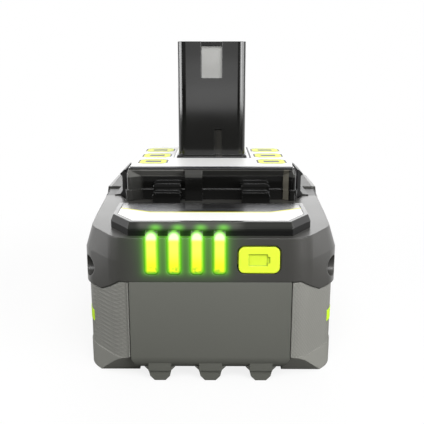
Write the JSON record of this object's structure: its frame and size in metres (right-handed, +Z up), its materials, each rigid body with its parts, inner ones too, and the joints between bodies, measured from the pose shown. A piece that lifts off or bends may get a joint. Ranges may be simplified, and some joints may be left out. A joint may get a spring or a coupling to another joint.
{
  "type": "power tool battery pack",
  "caption": "Stem battery pack: grey box on skid ribs, dark collar with a lit charge gauge, black deck and tall contact stem between two release latches.",
  "frame": {"origin": "under the middle of the pack, in the plane of the skid ribs and feet it stands on", "axes": "+X to the right as seen facing the charge gauge, +Y from the gauge face to the back, +Z up along the contact stem"},
  "size_m": [0.0878, 0.115, 0.1037],
  "materials": {
    "tub_plastic": "fine satin moulding",
    "grip_elastomer": "matte with a fine lattice grain",
    "lime_inlay": "satin",
    "cover_plastic": "satin moulding",
    "black_gloss_plastic": "glossy moulding",
    "black_matte_plastic": "matte moulding",
    "latch_plastic": "satin moulding",
    "contact_metal": "satin nickel plating",
    "label_film": "printed film",
    "deck_paper": "matte with yellow patches",
    "light_lens": "clear lens, lit from behind",
    "lime_button": "satin",
    "circuit_board": "solder mask",
    "lamp_resin": "clear resin",
    "component_black": "moulded component body",
    "fuse_ceramic": "glazed tube body",
    "spring_steel": "bright wire",
    "cell_sleeve": "shrink sleeve over a drawn can",
    "holder_plastic": "fine moulding",
    "nickel_strip": "rolled strip",
    "insulating_card": "matte card",
    "lead_black": "soft insulation",
    "lead_red": "soft insulation",
    "ribbon_film": "film",
    "foam": "closed-cell foam",
    "screw_steel": "zinc plating"
  },
  "bodies": {
    "pack": {"bus_strip_1": "nickel_strip", "bus_strip_2": "nickel_strip", "bus_strip_3": "nickel_strip", "bus_strip_4": "nickel_strip", "bus_strip_5": "nickel_strip", "bus_strip_6": "nickel_strip", "case_screws": "screw_steel", "cell_01": "cell_sleeve", "cell_02": "cell_sleeve", "cell_03": "cell_sleeve", "cell_04": "cell_sleeve", "cell_05": "cell_sleeve", "cell_06": "cell_sleeve", "cell_07": "cell_sleeve", "cell_08": "cell_sleeve", "cell_09": "cell_sleeve", "cell_10": "cell_sleeve", "contact_carrier": "black_matte_plastic", "control_chip": "component_black", "deck_label": "deck_paper", "foam_pads": "foam", "front_contact": "contact_metal", "gauge_board": "circuit_board", "gauge_lamps": "lamp_resin", "gauge_ribbon": "ribbon_film", "gauge_switch": "component_black", "left_cell_holder": "holder_plastic", "left_grip": "grip_elastomer", "left_inlay": "lime_inlay", "left_insulator": "insulating_card", "left_latch_spring": "spring_steel", "light_bar_1": "light_lens", "light_bar_2": "light_lens", "light_bar_3": "light_lens", "light_bar_4": "light_lens", "lower_case": "tub_plastic", "main_board": "circuit_board", "main_fuse": "fuse_ceramic", "name_label": "label_film", "name_plate": "black_gloss_plastic", "negative_lead": "lead_black", "positive_lead": "lead_red", "power_transistors": "component_black", "rear_contact": "contact_metal", "right_cell_holder": "holder_plastic", "right_grip": "grip_elastomer", "right_inlay": "lime_inlay", "right_insulator": "insulating_card", "right_latch_spring": "spring_steel", "signal_contacts": "contact_metal", "stem_cap": "black_matte_plastic", "stem_housing": "black_gloss_plastic", "switch_dome": "spring_steel", "thermistor": "component_black", "upper_cover": "cover_plastic"},
    "gauge_button": {"gauge_button": "lime_button"},
    "right_latch": {"right_latch": "latch_plastic"},
    "left_latch": {"left_latch": "latch_plastic"}
  },
  "joints": [
    {"name": "button_press", "type": "slide", "parent": "pack", "child": "gauge_button", "axis": [0, 1, 0], "range_m": [0, 0.0007], "stiffness_N_per_m": 3000, "springref_m": -0.0003, "deforming": ["switch_dome"]},
    {"name": "right_release", "type": "slide", "parent": "pack", "child": "right_latch", "axis": [-1, 0, 0], "range_m": [0, 0.002], "stiffness_N_per_m": 3000, "springref_m": -0.002, "deforming": ["right_latch_spring"]},
    {"name": "left_release", "type": "slide", "parent": "pack", "child": "left_latch", "axis": [1, 0, 0], "range_m": [0, 0.002], "stiffness_N_per_m": 3000, "springref_m": -0.002, "deforming": ["left_latch_spring"]}
  ]
}
